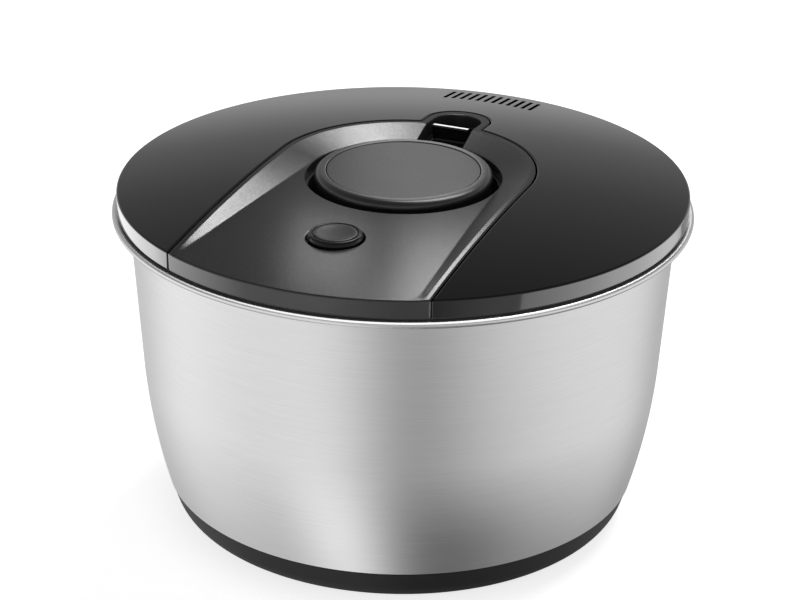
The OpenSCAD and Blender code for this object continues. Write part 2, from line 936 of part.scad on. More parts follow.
// Coil spring that lifts the button
module brake_spring() {
    color(c_steel)
        translate([0, -button_y, 0])
            coil(9.6, 0.4, plate_z + plate_t, button_deck, 4);
}

steel_bowl();
base_shell();
nonslip_foot();
pivot_pin();
pivot_cup();
basket();
lid_cover();
top_panel();
lid_base();
lid_seal();
lid_screws();
hub_bush();
drive_plate();
ratchet_ring();
hub_cap();
hub_clip();
clutch_nut();
clutch_pawls();
knob_skirt();
knob_cap();
knob_inlay();
spindle();
spindle_screw();
return_spring();
latch_slider();
latch_spring();
brake_button();
button_inlay();
brake_plunger();
brake_shoe();
brake_spring();
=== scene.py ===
"""Looks of the salad spinner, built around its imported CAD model.

Shapes are worked out in millimetres, in the CAD model's own frame: the origin is in the middle of the
base, +Z is up, the brake button is on the -Y side and the latch on the +Y side. Meshes are in metres.
"""

import math

import bpy
import numpy as np
from mathutils import Matrix, Vector
from mathutils.geometry import delaunay_2d_cdt


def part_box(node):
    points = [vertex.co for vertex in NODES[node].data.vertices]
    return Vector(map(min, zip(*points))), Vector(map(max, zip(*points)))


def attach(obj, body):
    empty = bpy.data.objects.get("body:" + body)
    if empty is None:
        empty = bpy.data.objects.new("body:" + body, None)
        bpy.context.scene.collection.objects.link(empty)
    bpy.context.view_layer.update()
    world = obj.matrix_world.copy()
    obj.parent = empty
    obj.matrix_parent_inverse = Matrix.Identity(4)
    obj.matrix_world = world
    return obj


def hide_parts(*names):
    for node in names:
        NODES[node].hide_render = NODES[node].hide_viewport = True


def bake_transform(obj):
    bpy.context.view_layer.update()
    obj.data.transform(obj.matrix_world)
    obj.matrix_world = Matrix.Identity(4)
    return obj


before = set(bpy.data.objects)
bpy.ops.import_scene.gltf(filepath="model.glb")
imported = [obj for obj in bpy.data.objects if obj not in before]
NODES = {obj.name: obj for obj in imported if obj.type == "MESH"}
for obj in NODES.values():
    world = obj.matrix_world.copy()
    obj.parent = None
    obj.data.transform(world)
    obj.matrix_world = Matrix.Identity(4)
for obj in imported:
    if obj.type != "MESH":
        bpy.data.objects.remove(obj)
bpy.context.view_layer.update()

MM = 0.001

# ---------------------------------------------------------------- camera

CAMERA_PLACE = (0.3944, -0.957, 0.5703)
CAMERA_TURN = 22.447
CAMERA_DOWN = 24.492
CAMERA_ROLL = 0.667
CAMERA_LENS = 110.09
camera_data = bpy.data.cameras.new("camera")
camera_data.lens = CAMERA_LENS
camera_data.sensor_width = 36
camera = bpy.data.objects.new("camera", camera_data)
bpy.context.scene.collection.objects.link(camera)
camera.matrix_world = (
    Matrix.Translation(CAMERA_PLACE)
    @ Matrix.Rotation(math.radians(CAMERA_TURN), 4, "Z")
    @ Matrix.Rotation(math.radians(90 - CAMERA_DOWN), 4, "X")
    @ Matrix.Rotation(math.radians(CAMERA_ROLL), 4, "Z")
)
bpy.context.scene.camera = camera

# ---------------------------------------------------------------- sizes, in millimetres


def box_mm(node):
    """Lowest and highest corner of a CAD node, in millimetres."""
    low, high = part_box(node)
    return Vector(low) / MM, Vector(high) / MM


LID_R = box_mm("lid_cover")[1].x
FLANGE_Z = box_mm("steel_bowl")[1].z
EDGE_Z = FLANGE_Z + 9
SIDE_Z = FLANGE_Z + 0.9
DOME_H = 10
DOME_RAD = (LID_R**2 + DOME_H**2) / (2 * DOME_H)
SHELL_T = 2.2
PANEL_RISE = 3.5
PANEL_FALL = 3.65
PANEL_R = 60
LAND_W = 2.7
HORSESHOE_HALF = 15
HORSESHOE_Y = 68
SEAM_GAP = 0.55
WELL_R = 44.8
SLOT_HALF = 11.5
SLOT_END_Y = 66
BUTTON_Y = 75.7
BUTTON_R = 12
BUTTON_HOLE_R = BUTTON_R + 0.7
VENTS = 12
VENT_PITCH = 4.03
VENT_W = 1.8
VENT_IN_R = 107.8
VENT_OUT_R = 122.8
STEEL_T = 0.8
SEAM_Z = 17
TROUGH_FLARE = 10.7
TROUGH_LENGTH = 118
TROUGH_SOFT = 0.35
LAND_SOFT = 0.22
EDGE_FILLET = 0.9


# ---------------------------------------------------------------- small helpers


def add_mesh(name, vertices, faces, material, normals=None):
    """A smooth mesh object from points in millimetres, with exact normals where they are given."""
    mesh = bpy.data.meshes.new(name)
    mesh.from_pydata([tuple(MM * c for c in p) for p in vertices], [], faces)
    mesh.polygons.foreach_set("use_smooth", [True] * len(mesh.polygons))
    if normals is not None:
        mesh.normals_split_custom_set_from_vertices([tuple(n) for n in normals])
    mesh.materials.append(material)
    mesh.update()
    obj = bpy.data.objects.new(name, mesh)
    bpy.context.scene.collection.objects.link(obj)
    return obj


def place(obj, body, slot, *nodes):
    """Rides a piece on its body, in place of its CAD nodes; the slot argument is not used."""
    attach(obj, body)
    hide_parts(*nodes)
    return obj


def arc(centre, radius, start, end, steps=12):
    """Points on an arc between two angles in degrees."""
    angles = [math.radians(start + (end - start) * i / steps) for i in range(steps + 1)]
    return [(centre[0] + radius * math.cos(a), centre[1] + radius * math.sin(a)) for a in angles]


def rounded(corners, steps=6):
    """A closed outline from (x, y, radius) corners, each rounded by its radius."""
    points = []
    count = len(corners)
    for i in range(count):
        x, y, radius = corners[i]
        here = Vector((x, y))
        before = Vector(corners[i - 1][:2]) - here
        after = Vector(corners[(i + 1) % count][:2]) - here
        if radius <= 0:
            points.append((x, y))
            continue
        half = before.angle(after) / 2
        reach = radius / math.tan(half)
        centre = here + (before.normalized() + after.normalized()).normalized() * radius / math.sin(half)
        first = here + before.normalized() * reach - centre
        last = here + after.normalized() * reach - centre
        turn = first.angle_signed(last)
        for k in range(steps + 1):
            spoke = first.copy()
            spoke.rotate(Matrix.Rotation(-turn * k / steps, 2))
            points.append(tuple(centre + spoke))
    return points


def lathe(name, profile, material, centre=(0, 0), segments=256, crease=50):
    """Turns a closed (radius, z) outline about a vertical axis, with normals taken from the outline."""
    points = [Vector(p) for p in profile]
    count = len(points)
    area = sum(points[i - 1].cross(points[i]) for i in range(count))
    if area < 0:
        points.reverse()
    sides = [points[(i + 1) % count] - points[i] for i in range(count)]
    outs = [Vector((s.y, -s.x)).normalized() if s.length > 0 else Vector((1, 0)) for s in sides]
    corners = []
    for i in range(count):
        back, ahead = outs[i - 1], outs[i]
        if back.angle(ahead) > math.radians(crease):
            corners += [(i, back), (i, ahead)]
        else:
            mean = (back * sides[i - 1].length + ahead * sides[i].length).normalized()
            corners.append((i, mean))
    vertices, normals, rings = [], [], []
    for i, normal in corners:
        r, z = points[i]
        spokes = 1 if r < 1e-6 else segments
        rings.append((len(vertices), spokes, i))
        for k in range(spokes):
            a = 2 * math.pi * k / segments
            vertices.append((centre[0] + r * math.cos(a), centre[1] + r * math.sin(a), z))
            across = normal.x if spokes > 1 else 0
            facing = Vector((across * math.cos(a), across * math.sin(a), normal.y or 1e-9))
            normals.append(facing.normalized())
    faces = []
    for j in range(len(rings)):
        (a, na, ia), (b, nb, ib) = rings[j], rings[(j + 1) % len(rings)]
        if ia == ib or (na == 1 and nb == 1):
            continue
        for k in range(segments):
            m = (k + 1) % segments
            if na == 1:
                faces.append((a, b + m, b + k))
            elif nb == 1:
                faces.append((a + k, a + m, b))
            else:
                faces.append((a + k, a + m, b + m, b + k))
    return add_mesh(name, vertices, faces, material, normals)


# ---------------------------------------------------------------- materials


def new_material(name):
    """A material with its tree and its Principled shader."""
    material = bpy.data.materials.new(name)
    material.use_nodes = True
    tree = material.node_tree
    return material, tree, tree.nodes["Principled BSDF"]


def add_node(tree, kind, links=(), **values):
    """A node with some inputs set and some linked from (input, output socket) pairs."""
    node = tree.nodes.new(kind)
    for key, value in values.items():
        if key in node.inputs:
            node.inputs[key].default_value = value
        else:
            setattr(node, key, value)
    for name, socket in links:
        tree.links.new(socket, node.inputs[name])
    return node


def object_noise(tree, scale, detail=2, roughness=0.5, stretch=(1, 1, 1), offset=(0, 0, 0)):
    """Noise in the piece's own coordinates, in cycles per metre, stretched along the axes."""
    coords = add_node(tree, "ShaderNodeTexCoord")
    place_it = add_node(
        tree, "ShaderNodeMapping", [("Vector", coords.outputs["Object"])], Scale=stretch, Location=offset
    )
    return add_node(
        tree,
        "ShaderNodeTexNoise",
        [("Vector", place_it.outputs["Vector"])],
        Scale=scale,
        Detail=detail,
        Roughness=roughness,
    )


def ramp(tree, socket, stops):
    """A colour ramp of grey stops, (position, value) each."""
    node = add_node(tree, "ShaderNodeValToRGB", [("Fac", socket)])
    elements = node.color_ramp.elements
    while len(elements) > len(stops):
        elements.remove(elements[-1])
    while len(elements) < len(stops):
        elements.new(1.0)
    for element, (position, value) in zip(elements, stops):
        element.position = position
        element.color = (value, value, value, 1) if isinstance(value, (int, float)) else (*value, 1)
    return node.outputs["Color"]


def spread(tree, socket, low, high):
    """Maps a socket from 0..1 to low..high."""
    node = add_node(tree, "ShaderNodeMapRange", [("Value", socket)])
    node.inputs["To Min"].default_value = low
    node.inputs["To Max"].default_value = high
    return node.outputs["Result"]


def mix(tree, factor, first, second, kind="FLOAT"):
    """A mix of two sockets, by a number or by a third socket."""
    node = add_node(tree, "ShaderNodeMix", data_type=kind)
    if isinstance(factor, float):
        node.inputs[0].default_value = factor
    else:
        tree.links.new(factor, node.inputs[0])
    pair, output = ((2, 3), 0) if kind == "FLOAT" else ((6, 7), 2)
    tree.links.new(first, node.inputs[pair[0]])
    tree.links.new(second, node.inputs[pair[1]])
    return node.outputs[output]


def bump(tree, shader, height, strength, distance):
    """Bumps a shader by a height socket; the distance is in metres."""
    node = add_node(tree, "ShaderNodeBump", [("Height", height)], Strength=strength, Distance=distance)
    tree.links.new(node.outputs["Normal"], shader.inputs["Normal"])
    return node


def moulded(name, colour, roughness, grain, depth, lighter=1.25, sheen=0.0, specular=0.5):
    """Moulded plastic or rubber: a fine grain in the surface, uneven gloss and a slightly uneven colour."""
    material, tree, shader = new_material(name)
    fine = object_noise(tree, grain, 3, 0.6)
    broad = object_noise(tree, 35, 3, 0.55)
    dark = tuple(c / lighter for c in colour)
    light = tuple(c * lighter for c in colour)
    tone = ramp(tree, broad.outputs["Fac"], [(0.3, dark), (0.7, light)])
    tree.links.new(tone, shader.inputs["Base Color"])
    gloss = spread(tree, broad.outputs["Fac"], roughness * 0.85, roughness * 1.15)
    tree.links.new(gloss, shader.inputs["Roughness"])
    shader.inputs["Sheen Weight"].default_value = sheen
    shader.inputs["Specular IOR Level"].default_value = specular
    bump(tree, shader, fine.outputs["Fac"], 0.6, depth)
    return material


def brushed_steel(name, roughness=0.3, anisotropy=0.75, lines=6500, tone=(0.60, 0.70)):
    """Steel with fine brush lines that run round it."""
    material, tree, shader = new_material(name)
    shader.inputs["Metallic"].default_value = 1
    shader.inputs["Anisotropic"].default_value = anisotropy
    fine = object_noise(tree, 1, 4, 0.65, (45, 45, lines))
    wide = object_noise(tree, 1, 3, 0.6, (14, 14, lines * 0.45), (3, 5, 1))
    cloud = object_noise(tree, 14, 3, 0.5)
    both = mix(tree, 0.25, fine.outputs["Fac"], wide.outputs["Fac"])
    tree.links.new(ramp(tree, both, [(0.32, tone[0]), (0.68, tone[1])]), shader.inputs["Base Color"])
    mixed = mix(tree, 0.3, both, cloud.outputs["Fac"])
    gloss = spread(tree, mixed, roughness - 0.07, roughness + 0.07)
    tree.links.new(gloss, shader.inputs["Roughness"])
    tangent = add_node(tree, "ShaderNodeTangent", direction_type="RADIAL", axis="Z")
    tree.links.new(tangent.outputs["Tangent"], shader.inputs["Tangent"])
    bump(tree, shader, fine.outputs["Fac"], 0.25, 0.00001)
    return material


def gloss_black(name, colour=0.008, roughness=0.09):
    """Polished black plastic: deep, with faint hairlines and a slight unevenness in its gloss."""
    material, tree, shader = new_material(name)
    cloud = object_noise(tree, 30, 4, 0.6)
    hair = object_noise(tree, 1, 2, 0.5, (60, 2600, 60), (0.3, 0.1, 0))
    dark = (colour * 0.8,) * 3
    light = (colour * 1.3,) * 3
    tone = ramp(tree, cloud.outputs["Fac"], [(0.35, dark), (0.65, light)])
    tree.links.new(tone, shader.inputs["Base Color"])
    both = mix(tree, 0.35, cloud.outputs["Fac"], hair.outputs["Fac"])
    gloss = spread(tree, both, roughness * 0.7, roughness * 1.3)
    tree.links.new(gloss, shader.inputs["Roughness"])
    peel = object_noise(tree, 260, 1, 0.4)
    bump(tree, shader, peel.outputs["Fac"], 0.05, 0.00003)
    return material


def metallic_paint(name, colour, roughness, flakes=4200, glitter=0.05, edge=0.45, wall=0.06):
    """Dark metallic finish: small flakes that each face a little differently, smoother on upright walls."""
    material, tree, shader = new_material(name)
    shader.inputs["Specular Tint"].default_value = (edge, edge, edge, 1)
    coords = add_node(tree, "ShaderNodeTexCoord")
    cells = add_node(tree, "ShaderNodeTexVoronoi", [("Vector", coords.outputs["Object"])], Scale=flakes)
    cloud = object_noise(tree, 40, 3, 0.55)
    facing = add_node(tree, "ShaderNodeSeparateXYZ", [("Vector", coords.outputs["Normal"])])
    upright = ramp(tree, facing.outputs["Z"], [(0.25, 1), (0.55, 0)])
    tree.links.new(spread(tree, upright, 0.85, 0.4), shader.inputs["Metallic"])
    shade = add_node(tree, "ShaderNodeSeparateColor", [("Color", cells.outputs["Color"])])
    flaky = ramp(tree, shade.outputs["Red"], [(0.0, colour * 0.86), (0.8, colour), (1.0, colour * 1.3)])
    smooth = ramp(tree, cloud.outputs["Fac"], [(0.3, wall * 0.92), (0.7, wall * 1.08)])
    tree.links.new(mix(tree, upright, flaky, smooth, "RGBA"), shader.inputs["Base Color"])
    rough = spread(tree, cloud.outputs["Fac"], roughness - 0.03, roughness + 0.03)
    polished = spread(tree, cloud.outputs["Fac"], 0.08, 0.12)
    tree.links.new(mix(tree, upright, rough, polished), shader.inputs["Roughness"])
    centred = add_node(tree, "ShaderNodeVectorMath", [(0, cells.outputs["Color"])], operation="SUBTRACT")
    centred.inputs[1].default_value = (0.5, 0.5, 0.5)
    scaled = add_node(tree, "ShaderNodeVectorMath", [(0, centred.outputs[0])], operation="SCALE")
    tree.links.new(spread(tree, upright, glitter, 0), scaled.inputs["Scale"])
    geometry = add_node(tree, "ShaderNodeNewGeometry")
    tilted = add_node(
        tree,
        "ShaderNodeVectorMath",
        [(0, geometry.outputs["Normal"]), (1, scaled.outputs[0])],
        operation="ADD",
    )
    unit = add_node(tree, "ShaderNodeVectorMath", [(0, tilted.outputs[0])], operation="NORMALIZE")
    tree.links.new(unit.outputs[0], shader.inputs["Normal"])
    return material


STEEL = brushed_steel("bowl_steel")
BRIGHT = brushed_steel("bright_steel", roughness=0.22, anisotropy=0.3, lines=2500, tone=(0.62, 0.70))
GLOSS = gloss_black("lid_gloss", 0.004, 0.08)
BUTTON = gloss_black("button_black", 0.006, 0.14)
PANEL = metallic_paint("panel_metallic", 0.11, 0.3)
INLAY = metallic_paint("inlay_metallic", 0.125, 0.36, 3600, 0.04)
KNOB = moulded("knob_black", (0.008, 0.008, 0.008), 0.32, 2400, 0.000015, specular=0.9)
BASE = moulded("base_black", (0.007, 0.007, 0.007), 0.5, 2200, 0.00003, specular=0.2)
RUBBER = moulded("rubber_black", (0.02, 0.02, 0.02), 0.7, 1500, 0.00005, sheen=0.1)
INNER = moulded("inner_plastic", (0.03, 0.03, 0.032), 0.42, 1800, 0.00003)
BASKET = moulded("basket_plastic", (0.035, 0.035, 0.037), 0.38, 1600, 0.00003)
BEARING = moulded("bearing_plastic", (0.62, 0.61, 0.58), 0.4, 1500, 0.00002, 1.06)

# ---------------------------------------------------------------- heights of the lid


def dome_z(r):
    """Height of the dome at radius r."""
    return EDGE_Z + DOME_H - DOME_RAD + np.sqrt(DOME_RAD**2 - r**2)


def floor_z(r):
    """Height of the panel's shallow floor at radius r."""
    return EDGE_Z + PANEL_RISE - PANEL_FALL * (r / LID_R) ** 2


def soft_min(a, b, width):
    """The lower of two heights, with the crease between them rounded."""
    share = np.clip(0.5 + 0.5 * (b - a) / width, 0, 1)
    return b * (1 - share) + a * share - width * share * (1 - share)


def cover_height(x, y):
    """Top of the glossy cover."""
    return dome_z(np.hypot(x, y))


def trough_half(y):
    """Half of the width of the trough's floor, at a point y of the panel."""
    return WELL_R + TROUGH_FLARE * np.maximum(-y, 0) / TROUGH_LENGTH


def panel_height(x, y):
    """Top of the panel: a land flush with the dome, a slope inside it and a shallow floor."""
    r = np.hypot(x, y)
    across = np.where(y < 0, np.abs(x), r)
    inner = trough_half(y)
    land = PANEL_R - LAND_W
    low = floor_z(np.hypot(inner, np.minimum(y, 0)))
    high = dome_z(np.minimum(np.hypot(land, np.minimum(y, 0)), LID_R))
    slope = low + (high - low) * (across - inner) / (land - inner)
    trough = -soft_min(-floor_z(r), -slope, TROUGH_SOFT)
    hollow = np.where(y < 0, trough, slope)
    return soft_min(dome_z(np.minimum(r, LID_R)), hollow, LAND_SOFT)


# ---------------------------------------------------------------- sheets cut from a plan


def resample(points, step, closed=True):
    """The same line with points no further apart than step."""
    line = list(points) + ([points[0]] if closed else [])
    made = []
    for a, b in zip(line, line[1:]):
        length = math.dist(a, b)
        if length < 1e-9:
            continue
        cuts = max(1, math.ceil(length / step))
        made += [(a[0] + (b[0] - a[0]) * k / cuts, a[1] + (b[1] - a[1]) * k / cuts) for k in range(cuts)]
    if not closed:
        made.append(line[-1])
    return np.array(made)


def left_normals(loop):
    """For each point of a closed loop, the mitred direction to its left."""
    ahead = np.roll(loop, -1, axis=0) - loop
    ahead /= np.linalg.norm(ahead, axis=1)[:, None]
    left = np.stack([-ahead[:, 1], ahead[:, 0]], axis=1)
    before = np.roll(left, 1, axis=0)
    return (left + before) / (1 + np.sum(left * before, axis=1))[:, None]


def inside(points, loop):
    """Which points lie inside a closed loop."""
    x, y = points[:, 0][:, None], points[:, 1][:, None]
    ax, ay = loop[:, 0][None], loop[:, 1][None]
    bx, by = np.roll(loop, -1, axis=0).T[:, None]
    crosses = (ay > y) != (by > y)
    with np.errstate(divide="ignore", invalid="ignore"):
        where = ax + (y - ay) * (bx - ax) / (by - ay)
    return (np.sum(crosses & (x < where), axis=1) % 2) == 1


def nearest_gap(points, others):
    """For each point, its distance to the nearest of the others."""
    gaps = points[:, None] - others[None]
    return np.min(np.hypot(gaps[..., 0], gaps[..., 1]), axis=1)


def surface_normals(height, x, y):
    """Unit normals of a height field."""
    h = 0.02
    gx = (height(x + h, y) - height(x - h, y)) / (2 * h)
    gy = (height(x, y + h) - height(x, y - h)) / (2 * h)
    n = np.stack([-gx, -gy, np.ones_like(gx)], axis=1)
    return n / np.linalg.norm(n, axis=1)[:, None]


FILLET_STEPS = 4


def plan_sheet(name, loops, height, material, extra, grid_step, thickness):
    """A shell cut to a plan. Each loop is (points, fillet, wall foot, lip), with the material on its left.

    Its edge is rounded by the fillet, its wall goes down to the foot and a lip turns under it.
    """
    points, lean, out, edges = [], [], [], []
    outlines = []
    for loop, fillet, _, _ in loops:
        left = left_normals(loop)
        unit = left / np.linalg.norm(left, axis=1)[:, None]
        outlines.append(loop)
        for k in range(FILLET_STEPS + 1):
            angle = math.pi / 2 * k / FILLET_STEPS
            start = len(points)
            row = loop + left * fillet * (1 - math.cos(angle))
            points += list(map(tuple, row))
            lean += [(angle, fillet)] * len(row)
            out += list(map(tuple, -unit))
            edges += [(start + i, start + (i + 1) % len(row)) for i in range(len(row))]
    rows = np.array(points)
    span = np.arange(-LID_R, LID_R + grid_step, grid_step)
    grid = np.array([(x + (j % 2) * grid_step / 2, y) for j, y in enumerate(span * 0.866) for x in span])
    free = np.vstack([grid] + extra) if extra else grid
    clear = [grid_step * 0.45] * len(grid) + [0.25] * (len(free) - len(grid))
    keep = (nearest_gap(free, rows) > np.array(clear)) & inside(free, outlines[0])
    for hole in outlines[1:]:
        keep &= ~inside(free, hole)
    if extra:
        keep[: len(grid)] &= nearest_gap(grid, np.vstack(extra)) > 0.45 * grid_step
    free = free[keep]
    every = [Vector(p) for p in points] + [Vector(p) for p in free]
    found = delaunay_2d_cdt(every, edges, [], 0, 1e-6)
    flat, triangles, sources = found[0], found[2], found[3]
    xy = np.array([tuple(p) for p in flat])
    triangles = np.array([t for t in triangles if len(t) == 3])
    middle = xy[triangles].mean(axis=1)
    keep = inside(middle, outlines[0])
    for hole in outlines[1:]:
        keep &= ~inside(middle, hole)
    triangles = triangles[keep]
    a, b, c = (xy[triangles[:, i]] for i in range(3))
    turn = (b[:, 0] - a[:, 0]) * (c[:, 1] - a[:, 1]) - (b[:, 1] - a[:, 1]) * (c[:, 0] - a[:, 0])
    triangles[turn < 0] = triangles[turn < 0][:, ::-1]
    z = height(xy[:, 0], xy[:, 1])
    normals = surface_normals(height, xy[:, 0], xy[:, 1])
    for i, source in enumerate(sources):
        first = source[0] if source else len(points)
        if first < len(points):
            angle, fillet = lean[first]
            z[i] -= fillet * (1 - math.sin(angle))
            side = np.array((*out[first], 0))
            n = normals[i] * math.sin(angle) + side * math.cos(angle)
            normals[i] = n / np.linalg.norm(n)
    vertices = [(*p, h) for p, h in zip(xy, z)]
    normals = [tuple(n) for n in normals]
    faces = [tuple(t) for t in triangles]
    for loop, fillet, foot, lip in loops:
        left = left_normals(loop)
        unit = left / np.linalg.norm(left, axis=1)[:, None]
        top = height(loop[:, 0], loop[:, 1]) - fillet
        low = foot(loop[:, 0], loop[:, 1]) if callable(foot) else np.full(len(loop), float(foot))
        turned = min(0.4, lip / 2)
        strips = [(0, top, (1, 0)), (0, low + turned, (1, 0))]
        for k in range(1, 4):
            a = math.pi / 2 * k / 3
            shift, rise = turned * (1 - math.cos(a)), turned * (1 - math.sin(a))
            strips.append((shift, low + rise, (math.cos(a), -math.sin(a))))
        strips.append((lip, low, (0, -1)))
        start = len(vertices)
        n = len(loop)
        for shift, level, (across, up) in strips:
            row = loop + left * shift
            vertices += [(p[0], p[1], h) for p, h in zip(row, level)]
            normals += [(-u[0] * across, -u[1] * across, up) for u in unit]
        for s in range(len(strips) - 1):
            for i in range(n):
                j = (i + 1) % n
                a, b = start + s * n, start + (s + 1) * n
                faces.append((a + i, b + i, b + j, a + j))
    under = len(vertices)
    vertices += [(p[0], p[1], h - thickness) for p, h in zip(xy, z)]
    normals += [(0, 0, -1)] * len(xy)
    faces += [(under + t[0], under + t[2], under + t[1]) for t in triangles]
    return add_mesh(name, vertices, faces, material, normals)


def u_outline(grow):
    """The panel's outline from its front left corner round the back to its front right corner."""
    half = PANEL_R + grow
    shoe = HORSESHOE_HALF + grow
    corner = -math.sqrt(LID_R**2 - half**2)
    join = math.degrees(math.acos(shoe / half))
    return (
        [(-half, corner)]
        + arc((0, 0), half, 180, 180 - join, 72)
        + arc((0, HORSESHOE_Y), shoe, 180, 0, 48)
        + arc((0, 0), half, join, 0, 72)
        + [(half, corner)]
    )


def rim_arc(start, end):
    """Points round the lid's rim between two of its corners."""
    first, last = (math.degrees(math.atan2(p[1], p[0])) for p in (start, end))
    if last <= first:
        last += 360
    return arc((0, 0), LID_R, first, last, max(24, int((last - first) * 1.5)))


def circle_hole(x, y, r, steps=180):
    """A round hole, with the material on the left of its line."""
    return np.array(arc((x, y), r, 360, 0, steps)[:-1])


def well_and_slot():
    """The well's hole joined with the latch's slot, as one loop with the material on its left."""
    meet = math.degrees(math.acos(SLOT_HALF / WELL_R))
    return (
        arc((0, 0), WELL_R, meet, -180 - meet, 220)
        + arc((0, SLOT_END_Y), SLOT_HALF, 180, 0, 48)
    )


def vent_holes():
    """The vents' outlines."""
    holes = []
    for i in range(VENTS):
        x = (i - (VENTS - 1) / 2) * VENT_PITCH
        near = math.sqrt(VENT_IN_R**2 - x**2)
        far = math.sqrt(VENT_OUT_R**2 - x**2)
        half = VENT_W / 2
        corners = [(x - half, near, 0.6), (x - half, far, 0.6), (x + half, far, 0.6), (x + half, near, 0.6)]
        holes.append(resample(rounded(corners, 4), 1.5))
    return holes


def build_cover():
    """The glossy ring of the lid."""
    seam = u_outline(SEAM_GAP)
    loop = resample(rim_arc(seam[-1], seam[0])[:-1] + seam[:-1], 1.2)
    loops = [(loop, EDGE_FILLET, SIDE_Z, SHELL_T)]
    loops += [(hole, 0.15, EDGE_Z, 0.3) for hole in vent_holes()]
    return plan_sheet("lid_cover_shell", loops, cover_height, GLOSS, [], 4.0, SHELL_T)


def crease_rows():
    """Rows of points along the panel's creases, where its surface bends."""
    rows = []
    ys = np.arange(-TROUGH_LENGTH, 0, 1.2)
    for side in (-1, 1):
        for shift in (-1.2, -0.8, -0.5, -0.25, 0, 0.25, 0.5, 0.8):
            rows.append(np.stack([np.full_like(ys, side * (PANEL_R - LAND_W + shift)), ys], axis=1))
        for shift in (-2.5, -1.7, -1, -0.5, 0, 0.5, 1, 1.7, 2.5):
            rows.append(np.stack([side * (trough_half(ys) + shift), ys], axis=1))
    for shift in (-1.2, -0.8, -0.5, -0.25, 0, 0.25, 0.5, 0.8):
        rows.append(np.array(arc((0, 0), PANEL_R - LAND_W + shift, 0, 180, 150)))
    return rows


def build_panel():
    """The metallic panel."""
    seam = u_outline(0)
    loop = resample(rim_arc(seam[0], seam[-1])[:-1] + seam[::-1][:-1], 1.2)

    def well_foot(x, y):
        back = (np.abs(x) < 9.4) & (y > SLOT_END_Y)
        return np.where(back, EDGE_Z - 0.3, EDGE_Z - 2)

    well = resample(well_and_slot(), 1.2)
    button = circle_hole(0, -BUTTON_Y, BUTTON_HOLE_R, 120)
    loops = [
        (loop, EDGE_FILLET, SIDE_Z, SHELL_T),
        (well, 0.5, well_foot, 1.8),
        (button, EDGE_FILLET, EDGE_Z - 0.8, 1.6),
    ]
    return plan_sheet("top_panel_shell", loops, panel_height, PANEL, crease_rows(), 3.0, SHELL_T)


cover = place(build_cover(), "lid", "lid_gloss", "lid_cover")
panel = place(build_panel(), "lid", "panel_metallic", "top_panel")

# ---------------------------------------------------------------- bowl and base


def bowl_r(z):
    """Outside radius of the bowl's wall at height z."""
    knee_r, knee_z, taper, curve_r = 120.1, 74.6, 0.0633, 274
    below = max(0, knee_z - z)
    return knee_r + taper * (z - knee_z) - below**2 / (2 * curve_r)


def touch_angle(point, centre, radius):
    """Angle at which a line from a point touches the underside of a circle."""
    v = Vector(point) - Vector(centre)
    return math.degrees(math.atan2(v.y, v.x) - math.acos(radius / v.length))


CORNER = (96, 12.3)
CORNER_R = 12
BASE_T = 2.2
NECK = (107.5, SEAM_Z - 0.1)


def build_bowl():
    """The bowl: thin steel with a flared and rolled rim."""
    bead = Vector((LID_R + 0.7, EDGE_Z - 10.6))
    bead_r = 1.6
    flange_z = bead.y + bead_r
    flare_r = 4.2
    flare_z = flange_z - STEEL_T - flare_r
    floor_r = CORNER_R - BASE_T - 0.2
    low = CORNER[1] - floor_r
    steps = 60
    levels = [SEAM_Z + (flare_z - SEAM_Z) * i / steps for i in range(steps + 1)]
    flare = (bowl_r(flare_z) + flare_r, flare_z)
    in_neck = (NECK[0] - STEEL_T, NECK[1] + STEEL_T)
    bend = math.degrees(math.acos((flange_z - STEEL_T - bead.y) / bead_r))
    profile = (
        [(0, low)]
        + arc(CORNER, floor_r, -90, touch_angle(NECK, CORNER, floor_r), 16)
        + [NECK]
        + [(bowl_r(z), z) for z in levels]
        + arc(flare, flare_r, 180, 90, 16)[1:]
        + arc(bead, bead_r, 90 + bend, 450, 32)
        + arc(flare, flare_r + STEEL_T, 90, 180, 16)
        + [(bowl_r(z) - STEEL_T, z) for z in levels[::-1][1:-1]]
        + [in_neck]
        + arc(CORNER, floor_r - STEEL_T, touch_angle(in_neck, CORNER, floor_r - STEEL_T), -90, 16)
        + [(0, low + STEEL_T)]
    )
    return lathe("bowl", profile, STEEL, segments=360)


def build_base():
    """The black base, with a soft top edge and the foot's groove."""
    top = (109.9, SEAM_Z - 0.2)
    in_top = (NECK[0] + 0.3, SEAM_Z - 0.2)
    in_r = CORNER_R - BASE_T
    soft = 0.5
    bottom = CORNER[1] - CORNER_R
    profile = (
        [(0, bottom), (87.9, bottom), (87.9, bottom + 1), (94.1, bottom + 1), (94.1, bottom)]
        + arc(CORNER, CORNER_R, -90, touch_angle(top, CORNER, CORNER_R), 20)
        + arc((top[0] - soft, top[1] - soft), soft, 0, 90, 5)
        + [in_top]
        + arc(CORNER, in_r, touch_angle(in_top, CORNER, in_r), -90, 16)
        + [(0, CORNER[1] - in_r)]
    )
    return lathe("base", profile, BASE, segments=300)


def build_foot():
    """The rubber ring, with a rounded tread."""
    profile = rounded([(88, 0, 0.6), (94, 0, 0.6), (94, 1.3, 0.1), (88, 1.3, 0.1)], 4)
    return lathe("foot_ring", profile, RUBBER, segments=240)


bowl = place(build_bowl(), "bowl", "bowl_steel", "steel_bowl")
place(build_base(), "bowl", "base_black", "base_shell")
place(build_foot(), "bowl", "rubber_black", "nonslip_foot")

# ---------------------------------------------------------------- knob

KNOB_TOP = box_mm("knob_cap")[1].z
CAP_Z = box_mm("knob_cap")[0].z
KNOB_R = box_mm("knob_cap")[1].x
INLAY_R = 35


